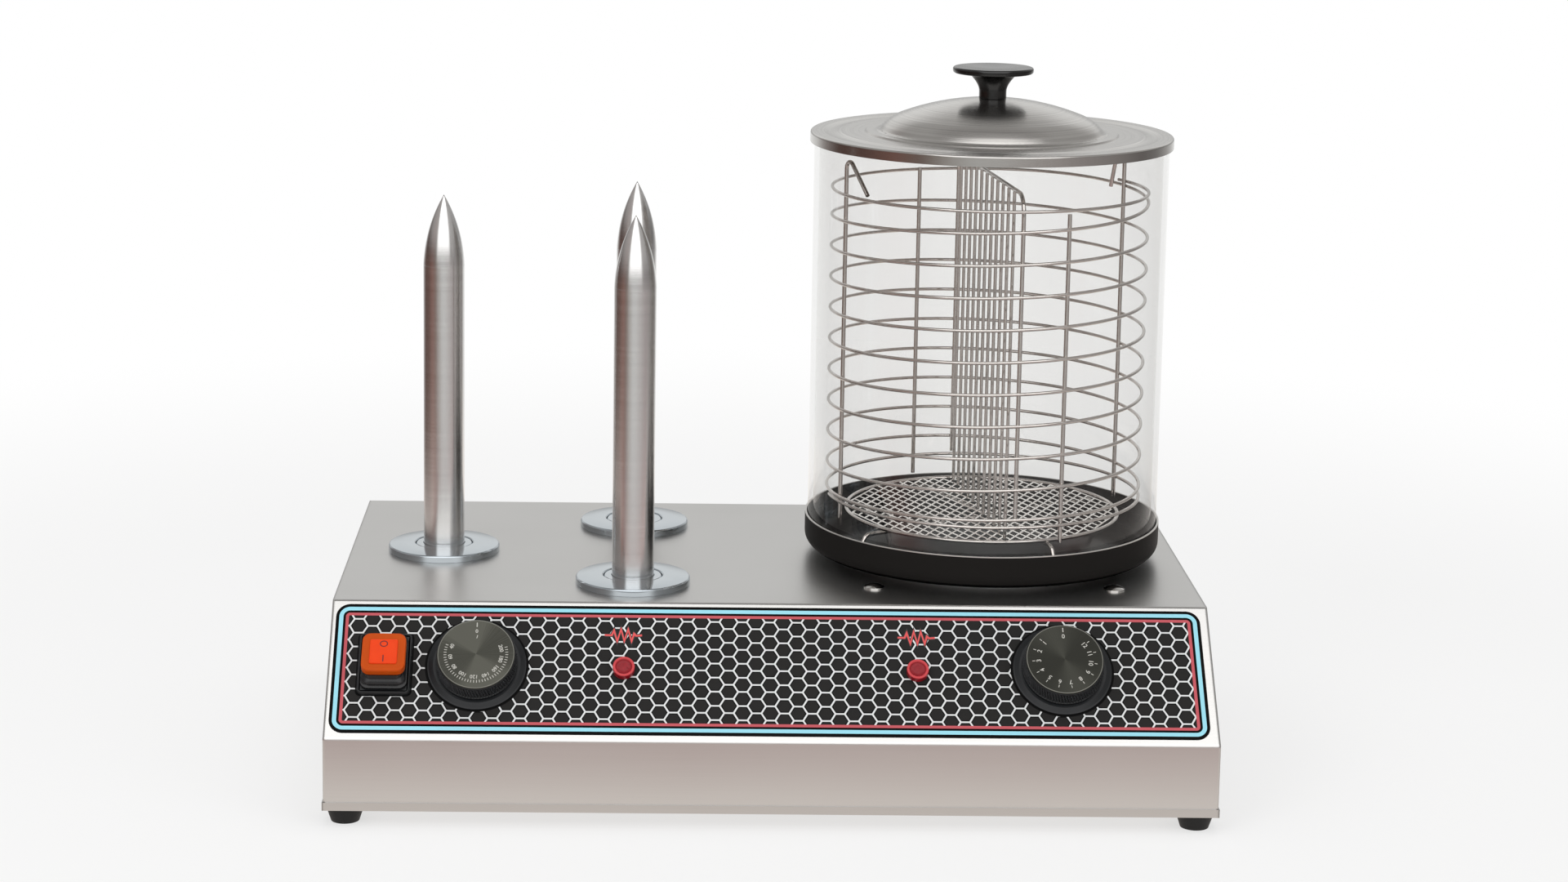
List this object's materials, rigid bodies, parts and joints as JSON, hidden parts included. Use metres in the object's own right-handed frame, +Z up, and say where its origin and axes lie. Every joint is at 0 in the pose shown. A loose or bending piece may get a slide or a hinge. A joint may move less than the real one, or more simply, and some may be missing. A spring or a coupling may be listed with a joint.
{
  "type": "hot dog steamer",
  "caption": "Counter hot dog steamer: sloped steel housing with dials and switch, heated bun spikes, and a lidded glass cylinder with a wire basket over a water pan.",
  "frame": {"origin": "on the floor under the middle of the object's bounding box", "axes": "+Z up; -Y towards the control panel's front; +X to the right seen from the front, towards the glass cylinder"},
  "size_m": [0.5036, 0.3148, 0.4094],
  "materials": {
    "housing_steel": "satin brushed stainless sheet",
    "tray_steel": "plain stainless sheet",
    "screw_steel": "plated screws, nuts and shafts",
    "foot_rubber": "moulded black rubber",
    "overlay_print": "printed film: white hexagon net on dark grey, blue and red border stripes",
    "black_plastic": "moulded black plastic, knurled on the knobs",
    "control_case": "pale moulded control case",
    "boot_rubber": "soft black bellows",
    "rocker_orange": "translucent orange cap",
    "bezel_grey": "dark grey ring with a bright lower edge",
    "dial_plate": "dark olive-grey plate with pale marks",
    "lamp_red": "translucent red lens",
    "terminal_ceramic": "glazed white",
    "copper_tube": "drawn tube",
    "spike_aluminium": "turned, fine rings round the barrel, smoother tip",
    "flange_chrome": "polished",
    "heater_sheath": "dull heater sheath",
    "cast_plate": "cast, machined on top",
    "pan_black": "black coating, worn bright on the rim",
    "clear_glass": "clear heat-proof glass",
    "wire_steel": "bright drawn wire and expanded sheet",
    "lid_steel": "spun, fine rings about the axis",
    "knob_black": "glossy black"
  },
  "bodies": {
    "housing": {"housing_shell": "housing_steel", "base_tray": "tray_steel", "side_screws": "screw_steel", "foot_screws": "screw_steel", "pan_screws": "screw_steel", "pan_nuts": "screw_steel", "stud_nut": "screw_steel", "spike_nuts": "screw_steel", "spike_seats": "screw_steel", "element_clamp": "screw_steel", "foot_front_left": "foot_rubber", "foot_front_right": "foot_rubber", "foot_rear_left": "foot_rubber", "foot_rear_right": "foot_rubber", "fascia_overlay": "overlay_print", "switch_frame": "black_plastic", "switch_body": "black_plastic", "cable_gland": "black_plastic", "gland_nut": "black_plastic", "lamp_left_body": "black_plastic", "lamp_right_body": "black_plastic", "thermostat_body": "control_case", "regulator_body": "control_case", "switch_boot": "boot_rubber", "thermostat_bezel": "bezel_grey", "regulator_bezel": "bezel_grey", "lamp_left_lens": "lamp_red", "lamp_right_lens": "lamp_red", "terminal_block": "terminal_ceramic", "thermostat_bulb": "copper_tube", "spike_left": "spike_aluminium", "spike_front": "spike_aluminium", "spike_rear": "spike_aluminium", "spike_flange_left": "flange_chrome", "spike_flange_front": "flange_chrome", "spike_flange_rear": "flange_chrome", "spike_heater_left": "heater_sheath", "spike_heater_front": "heater_sheath", "spike_heater_rear": "heater_sheath", "ring_element": "heater_sheath", "heater_plate": "cast_plate", "water_pan": "pan_black"},
    "glass": {"glass_cylinder": "clear_glass"},
    "rack": {"rack_mesh": "wire_steel", "rack_ring": "wire_steel", "rack_legs": "wire_steel"},
    "basket": {"basket_coil": "wire_steel", "basket_hooks": "wire_steel", "basket_posts": "wire_steel", "basket_divider": "wire_steel"},
    "lid": {"lid_shell": "lid_steel", "lid_knob": "knob_black", "lid_screw": "screw_steel"},
    "thermostat_dial_set": {"thermostat_knob": "black_plastic", "thermostat_dial": "dial_plate", "thermostat_shaft": "screw_steel"},
    "regulator_dial_set": {"regulator_knob": "black_plastic", "regulator_dial": "dial_plate", "regulator_shaft": "screw_steel"},
    "rocker": {"switch_rocker": "rocker_orange"}
  },
  "joints": [
    {"name": "glass_lift", "type": "slide", "parent": "housing", "child": "glass", "axis": [0, 0, 1], "range_m": [0, 0.26]},
    {"name": "rack_lift", "type": "slide", "parent": "glass", "child": "rack", "axis": [0, 0, 1], "range_m": [0, 0.24]},
    {"name": "basket_lift", "type": "slide", "parent": "rack", "child": "basket", "axis": [0, 0, 1], "range_m": [0, 0.24]},
    {"name": "lid_lift", "type": "slide", "parent": "basket", "child": "lid", "axis": [0, 0, 1], "range_m": [0, 0.1]},
    {"name": "thermostat_turn", "type": "hinge", "parent": "housing", "child": "thermostat_dial_set", "pos_m": [-0.1662, -0.12377, 0.08338], "axis": [0, 0.7071, -0.7071], "range_deg": [0, 280]},
    {"name": "regulator_turn", "type": "hinge", "parent": "housing", "child": "regulator_dial_set", "pos_m": [0.1643, -0.12377, 0.08338], "axis": [0, 0.7071, -0.7071], "range_deg": [0, 320]},
    {"name": "switch_tilt", "type": "hinge", "parent": "housing", "child": "rocker", "pos_m": [-0.218, -0.12165, 0.08126], "axis": [1, 0, 0], "range_deg": [0, 8]}
  ]
}
